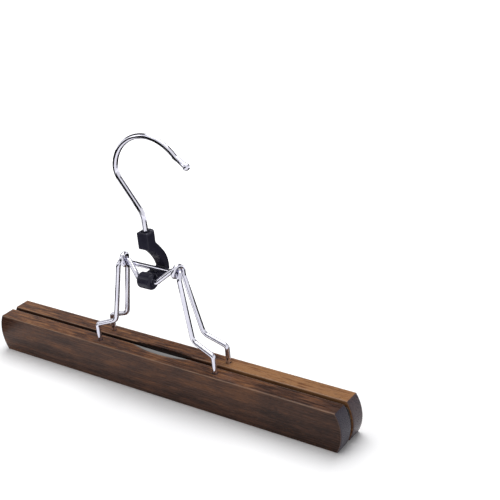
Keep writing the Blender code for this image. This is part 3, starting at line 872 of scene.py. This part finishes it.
def curve_between(root, base, handles, count=28):
    """One side of the arched arm, a cubic curve from the block down to the web, as points."""
    span = base[0] - root[0]
    fall = root[1] - base[1]
    leave, meet = ((root[0] + span * along, root[1] - fall * down) for along, down in handles)
    points = []
    for i in range(count + 1):
        t = i / count
        s = 1.0 - t
        parts = ((s ** 3, root), (3 * s * s * t, leave), (3 * s * t * t, meet), (t ** 3, base))
        points.append(tuple(sum(weight * point[k] for weight, point in parts) for k in range(2)))
    return points


def lever_outline(lever, foot, web_top):
    """The lever from the side, as (y, z): block, arched arm, web, and the round foot's outline."""
    arm_back_handles = ((0.50, 0.33), (1.00, 0.54))
    arch_handles = ((0.45, 0.10), (0.885, 0.635))
    fine, coarse = radians(5.0), radians(15.0)
    back_y = lever.front_y + lever.depth
    arm_back = LEVER_HIGH.y
    arm_front = arm_back - lever.arm_thickness
    heel = (arm_back - lever.heel_radius, web_top - lever.web_thickness + lever.heel_radius)
    fillet = (arm_front - lever.arm_fillet, web_top + lever.arm_fillet)
    web_above_foot = web_top - foot.z
    web_angle = atan2(web_above_foot, sqrt(lever.foot_radius ** 2 - web_above_foot ** 2))
    outline = [(lever.front_y, lever.bottom), (lever.front_y, LEVER_HIGH.z), (back_y, LEVER_HIGH.z)]
    arm_root = (back_y, lever.bottom + lever.arm_root)
    outline += curve_between(arm_root, (arm_back, fillet[1]), arm_back_handles)
    outline += arc(heel, lever.heel_radius, 0.0, -pi / 2, fine)
    outline += arc((foot.y, foot.z), lever.foot_radius, -lever.foot_web, web_angle - 2 * pi, fine)
    outline += arc(fillet, lever.arm_fillet, -pi / 2, 0.0, coarse)
    arch = curve_between((lever.front_y, lever.bottom), (arm_front, fillet[1]), arch_handles)
    return outline + arch[-2:0:-1]


def bulge_outline(lever):
    """The bulging back of the block from above, rooted inside the block."""
    half = lever.width / 2 - lever.edge_round
    back_y = lever.front_y + lever.depth
    radius = bow(half, lever.bulge)
    reach, fine = asin(half / radius), radians(4.0)
    back = arc((0.0, back_y + lever.bulge - radius), radius, pi / 2 - reach, pi / 2 + reach, fine)
    return [(-half, back_y - lever.edge_round), (half, back_y - lever.edge_round)] + back


def make_lever(lever, wire, hook, material):
    """The black lever: one moulding, bored for the V below and for the hook above."""
    foot = Vector((0.0, -wire.v_y, wire.hinge_height - wire.v_drop))
    web_top = wire.hinge_height - wire.cross_drop - wire.radius - lever.web_gap
    side_view = Matrix(((0, 0, 1, 0), (1, 0, 0, 0), (0, 1, 0, 0), (0, 0, 0, 1)))
    body = prism("lever_blank", lever_outline(lever, foot, web_top), lever.width, side_view)
    body.data.materials.append(material)
    round_edges(body, lever.edge_round)
    low, high = lever.bottom + lever.bulge_root, LEVER_HIGH.z - lever.edge_round / 3
    lift = Matrix.Translation((0, 0, (low + high) / 2))
    boolean(body, prism("lever_bulge", bulge_outline(lever), high - low, lift), "UNION")
    half, across = lever.foot_length / 2, Vector((1.0, 0.0, 0.0))
    pin = pin_profile(lever.foot_length, lever.foot_radius, lever.foot_round, 8)
    profile = [(along - half, radius) for along, radius in pin]
    boolean(body, turned("lever_foot", profile, foot, across), "UNION")
    running_gap, flare = 0.15 * MM, 0.5 * MM
    bore = wire.radius + running_gap
    bore_profile = [(-half - flare, bore + 2 * flare), (-half + flare, bore), (half - flare, bore),
                    (half + flare, bore + 2 * flare)]
    boolean(body, turned("lever_bore", bore_profile, foot, across), "DIFFERENCE")
    slot_half, mouth = lever.snap_slot / 2, 2 * lever.foot_radius
    slot = [(0.0, -slot_half), (mouth, -slot_half), (mouth, slot_half), (0.0, slot_half)]
    turn = Matrix.Translation(foot) @ Matrix.Rotation(lever.snap_angle, 4, "X") @ side_view
    boolean(body, prism("lever_slot", slot, 2 * lever.foot_length, turn), "DIFFERENCE")
    shank = Vector((0.0, lever.front_y + lever.hook_setback, 0.0))
    room_top = HOOK_LOW.z + hook.head_height + lever.web_gap
    below, above = web_top + lever.foot_radius, LEVER_HIGH.z + MM
    holes = (
        ("lever_hook_hole", below, above, hook.radius + running_gap),
        ("lever_head_room", below, room_top, hook.head_radius + lever.web_gap),
        ("lever_seat", LEVER_HIGH.z - lever.seat_depth, above, lever.seat_radius),
    )
    for name, start, end, radius in holes:
        boolean(body, turned(name, [(start, radius), (end, radius)], shank, UP), "DIFFERENCE")
    body = finished(body, "lever_cut", sharp=None)
    blend = body.modifiers.new("one_skin", "REMESH")
    blend.mode = "VOXEL"
    blend.voxel_size = lever.voxel
    ease_all = body.modifiers.new("moulded_edges", "SMOOTH")
    ease_all.factor = 0.5
    ease_all.iterations = 6
    body.data.materials.clear()
    body.data.materials.append(material)
    return finished(body, "lever_moulding", sharp=radians(60.0))


def look_at(place, target):
    """The turn that points a light or camera at a place towards a target."""
    return (Vector(target) - Vector(place)).to_track_quat("-Z", "Y")


class HANGER_OT_studio(bpy.types.Operator):
    """Set the pale floor, the soft lights and the camera"""

    bl_idname = "hanger.studio"
    bl_label = "Studio"

    def execute(self, context):
        """Build the stage."""
        studio = context.scene.hanger_studio
        self.add_floor()
        self.add_cards()
        self.add_world(context, studio)
        self.add_lights(studio)
        self.add_camera(context, studio)
        context.scene.view_settings.view_transform = "Standard"
        return {"FINISHED"}

    def seen_share(self, tree):
        """1 for the camera's rays and those that a shiny or clear surface sends on, 0 for all others."""
        path = add_node(tree, "ShaderNodeLightPath").outputs
        share = path["Is Camera Ray"]
        for other in ("Is Glossy Ray", "Is Transmission Ray"):
            larger = add_node(tree, "ShaderNodeMath", {0: share, 1: path[other]}, operation="MAXIMUM")
            share = larger.outputs["Value"]
        return share

    def add_flats(self, name, flats, material):
        """A piece of the stage, made of flat faces with the corners given."""
        bm = bmesh.new()
        for corners in flats:
            bm.faces.new([bm.verts.new(corner) for corner in corners])
        mesh = bpy.data.meshes.new(name)
        bm.to_mesh(mesh)
        bm.free()
        made = add_object(name, mesh, material)
        return made

    def add_floor(self):
        """A wide white floor that keeps the object's shadow, with painted shade close round the bars, and is
        plain white a little way off.
        """
        material, tree, shader, place = start_material("white_floor")
        nothing, apart = (0.0, 0.0, 0.0), place
        steps = (("ABSOLUTE", nothing), ("SUBTRACT", BAR_HIGH.to_tuple()), ("MAXIMUM", nothing))
        for operation, other in steps:
            apart = add_node(tree, "ShaderNodeVectorMath", {0: apart, 1: other}, operation=operation)
            apart = apart.outputs["Vector"]
        away = add_node(tree, "ShaderNodeVectorMath", {0: apart}, operation="LENGTH").outputs["Value"]
        # each reach of the floor, with the strength of the glow that lifts it to white; the first glow fades
        # out close to the bars, so painted shade darkens the floor there
        lift = 0.0
        for near, far, strength in ((8 * MM, 60 * MM, 0.12), (0.20, 1.0, 0.8)):
            more = add_node(tree, "ShaderNodeMapRange", {
                "Value": away, "From Min": near, "From Max": far, "To Min": 0.0, "To Max": strength,
            }).outputs["Result"]
            lift = add_node(tree, "ShaderNodeMath", {0: lift, 1: more}, operation="ADD").outputs["Value"]
        shown = add_node(tree, "ShaderNodeMath", {0: lift, 1: self.seen_share(tree)}, operation="MULTIPLY")
        feed(tree, shader, {
            "Base Color": (0.93, 0.93, 0.94, 1.0), "Roughness": 0.9, "Specular IOR Level": 0.0,
            "Emission Color": (1.0, 1.0, 1.0, 1.0), "Emission Strength": shown.outputs["Value"],
        })
        half = 8.0
        square = [(x * half, y * half, 0.0) for x, y in ((-1, -1), (1, -1), (1, 1), (-1, 1))]
        self.add_flats("floor", [square], material)

    def add_cards(self):
        """Black cards that only a shiny surface mirrors; they give the chrome its dark lines."""
        low, high, far = 4 * MM, 22 * MM, 1.8
        # each lying card: its height, its ends along X and its ends along Y
        lying = {
            "black_card_behind": (high, (-far, 0.30), (0.016, 0.20)),
            "black_card_far_behind": (high, (-far, -0.02), (0.20, far)),
            "black_card_left": (low, (-far, -0.24), (-0.13, 0.016)),
            "black_strip_left": (low, (-0.19, -0.135), (-0.045, 0.016)),
            "black_strip_near_left": (low, (-0.19, -0.105), (-0.13, -0.045)),
            "black_card_front_left": (low, (-far, -0.09), (-far, -0.13)),
        }
        # each standing card: its headings from +X and its elevations, in degrees
        standing = {
            "black_wall_behind": ((50.0, 200.0), (17.0, 58.0)),
            "black_strip_right": ((5.0, 50.0), (29.0, 40.0)),
            "black_wall_in_front": ((-135.0, -62.0), (-4.0, 30.0)),
        }
        cards = {}
        for name, (height, (left, right), (near, away)) in lying.items():
            corners = ((left, near), (right, near), (right, away), (left, away))
            cards[name] = [[(*corner, height) for corner in corners]]
        # they stand at this reach, and their elevations are taken from this level
        reach, level, step = 0.7, 0.1, radians(14.0)
        for name, (headings, elevations) in standing.items():
            feet = arc((0.0, 0.0), reach, *map(radians, headings), step)
            foot, top = (level + reach * tan(radians(e)) for e in elevations)
            cards[name] = [((*a, foot), (*b, foot), (*b, top), (*a, top)) for a, b in zip(feet, feet[1:])]
        for name, flats in cards.items():
            material, tree, shader, _ = start_material(name)
            feed(tree, shader, {"Base Color": (0.01, 0.01, 0.01, 1.0), "Specular IOR Level": 0.0})
            card = self.add_flats(name, flats, material)
            card.visible_camera = False
            card.visible_diffuse = False
            card.visible_transmission = False
            card.visible_shadow = False

    def add_world(self, context, studio):
        """White to the camera and to shiny surfaces, and a soft even light to all others."""
        world = bpy.data.worlds.new("studio")
        world.use_nodes = True
        tree = world.node_tree
        tree.nodes.clear()
        strength = add_node(tree, "ShaderNodeMix",
                            {"Factor": self.seen_share(tree), "A": studio.surround, "B": 1.0})
        light = add_node(tree, "ShaderNodeBackground",
                         {"Color": (1.0, 1.0, 1.0, 1.0), "Strength": strength.outputs["Result"]})
        add_node(tree, "ShaderNodeOutputWorld", {"Surface": light.outputs["Background"]})
        context.scene.world = world

    def add_lights(self, studio):
        """A large soft light above and behind, and a weaker one in front."""
        aim = (0.0, 0.0, 0.05)
        # each lamp: its name, place, width and power
        lamps = (
            ("key", (-0.15, 0.35, 1.0), 0.9, studio.key_power),
            ("fill", (-0.7, -0.8, 0.5), 0.6, studio.fill_power),
        )
        for name, place, width, power in lamps:
            data = bpy.data.lights.new(name, "AREA")
            data.shape = "SQUARE"
            data.size = width
            data.energy = power
            lamp = add_object(name, data)
            lamp.location = place
            lamp.rotation_mode = "QUATERNION"
            lamp.rotation_quaternion = look_at(place, aim)

    def add_camera(self, context, studio):
        """The camera, at the photograph's angle."""
        level = cos(studio.elevation)
        away = Vector((sin(studio.azimuth) * level, -cos(studio.azimuth) * level, sin(studio.elevation)))
        data = bpy.data.cameras.new("camera")
        data.lens = studio.lens
        data.clip_start = 0.01
        camera = add_object("camera", data)
        target = Vector(studio.target)
        camera.location = target + away * studio.distance
        camera.rotation_mode = "QUATERNION"
        upright = look_at(camera.location, target)
        camera.rotation_quaternion = upright @ Quaternion(UP, studio.roll)
        context.scene.camera = camera


class HANGER_OT_bars(bpy.types.Operator):
    """Make the two stained wooden bars with their scoops and holes"""

    bl_idname = "hanger.bars"
    bl_label = "Wooden bars"

    def execute(self, context):
        """Build the bars."""
        wood, wire = context.scene.hanger_wood, context.scene.hanger_wire
        # each bar: its side, its scoop's width and depth, its figure's shift, and its paler end
        bars = {
            "front": (-1, wood.front_scoop_width, wood.front_scoop_depth, (0.31, 0.038, -0.021),
                      60.0 * MM, -0.14),
            "rear": (1, wood.rear_scoop_width, wood.rear_scoop_depth, (0.74, -0.024, -0.035),
                     28.0 * MM, 0.26),
        }
        for word, (side, width, depth, shift, pale_from, pale_gain) in bars.items():
            notched = side > 0
            finish = stained_beech(f"lacquered_stained_beech_{word}", wood, shift, pale_from, pale_gain,
                                   lacquered_scoop=not notched)
            shape = BarShape(wood, width, depth, notched)
            bar = make_bar(f"{word}_bar_wood", side, wood, shape, finish, wire)
            dress(bar, f"{word}_jaw", "stained_wood", f"{word}_bar")
        return {"FINISHED"}


class HANGER_OT_linings(bpy.types.Operator):
    """Make the two felt linings between the bars"""

    bl_idname = "hanger.linings"
    bl_label = "Felt linings"

    def execute(self, context):
        """Build the linings."""
        wood, felt = context.scene.hanger_wood, context.scene.hanger_felt
        finish = black_felt(felt)
        for side, word in ((-1, "front"), (1, "rear")):
            lining = make_lining(f"{word}_felt", side, wood, felt, finish)
            dress(lining, f"{word}_jaw", "black_felt", f"{word}_lining")
        return {"FINISHED"}


class HANGER_OT_yokes(bpy.types.Operator):
    """Make the two interlinked wire yokes"""

    bl_idname = "hanger.yokes"
    bl_label = "Wire yokes"

    def execute(self, context):
        """Build the yokes."""
        wire = context.scene.hanger_wire
        for word, path in (("front", front_yoke_path(wire)), ("rear", rear_yoke_path(wire))):
            yoke = make_wire(f"{word}_yoke_wire", path, wire.radius, wire.sides)
            dress(yoke, f"{word}_jaw", "chromed_wire", f"{word}_yoke")
        return {"FINISHED"}


class HANGER_OT_lever(bpy.types.Operator):
    """Make the black lever that locks the jaws"""

    bl_idname = "hanger.lever"
    bl_label = "Lever"

    def execute(self, context):
        """Build the lever."""
        scene = context.scene
        finish = black_abs(scene.hanger_lever)
        lever = make_lever(scene.hanger_lever, scene.hanger_wire, scene.hanger_hook, finish)
        dress(lever, "lever", "black_plastic", "lever")
        return {"FINISHED"}


class HANGER_OT_hook(bpy.types.Operator):
    """Make the swivel hook with its ball tip and peened head"""

    bl_idname = "hanger.hook"
    bl_label = "Swivel hook"

    def execute(self, context):
        """Build the hook."""
        scene = context.scene
        hook, lever = scene.hanger_hook, scene.hanger_lever
        path = hook_path(hook, lever.front_y + lever.hook_setback, LEVER_HIGH.z)
        points, swells = with_ends(hook, path)
        made = make_wire("swivel_hook", points, hook.radius, scene.hanger_wire.sides, swells)
        dress(made, "hook", "chromed_wire", "hook")
        return {"FINISHED"}


class HANGER_PT_looks(bpy.types.Panel):
    """Lists the hanger's pieces and their settings."""

    bl_label = "Clamp hanger"
    bl_idname = "HANGER_PT_looks"
    bl_space_type = "VIEW_3D"
    bl_region_type = "UI"
    bl_category = "Hanger"

    def draw(self, context):
        """One box for each piece, with its button and its settings."""
        for operator, group in PIECES:
            box = self.layout.box()
            box.operator(operator.bl_idname)
            settings = getattr(context.scene, group)
            for key in settings.__annotations__:
                box.prop(settings, key)


PIECES = (
    (HANGER_OT_studio, "hanger_studio"),
    (HANGER_OT_bars, "hanger_wood"),
    (HANGER_OT_linings, "hanger_felt"),
    (HANGER_OT_yokes, "hanger_wire"),
    (HANGER_OT_lever, "hanger_lever"),
    (HANGER_OT_hook, "hanger_hook"),
)
GROUPS = {
    "hanger_wood": WoodSettings,
    "hanger_felt": FeltSettings,
    "hanger_wire": WireSettings,
    "hanger_lever": LeverSettings,
    "hanger_hook": HookSettings,
    "hanger_studio": StudioSettings,
}


def register():
    """Register every class and hang the settings on the scene."""
    for group in GROUPS.values():
        bpy.utils.register_class(group)
    for name, group in GROUPS.items():
        setattr(bpy.types.Scene, name, PointerProperty(type=group))
    for operator, _ in PIECES:
        bpy.utils.register_class(operator)
    bpy.utils.register_class(HANGER_PT_looks)


def unregister():
    """Undo register."""
    bpy.utils.unregister_class(HANGER_PT_looks)
    for operator, _ in reversed(PIECES):
        bpy.utils.unregister_class(operator)
    for name, group in GROUPS.items():
        delattr(bpy.types.Scene, name)
        bpy.utils.unregister_class(group)


def main():
    """Make every piece."""
    register()
    bpy.ops.hanger.studio()
    bpy.ops.hanger.bars()
    bpy.ops.hanger.linings()
    bpy.ops.hanger.yokes()
    bpy.ops.hanger.lever()
    bpy.ops.hanger.hook()


if __name__ == "__main__":
    main()
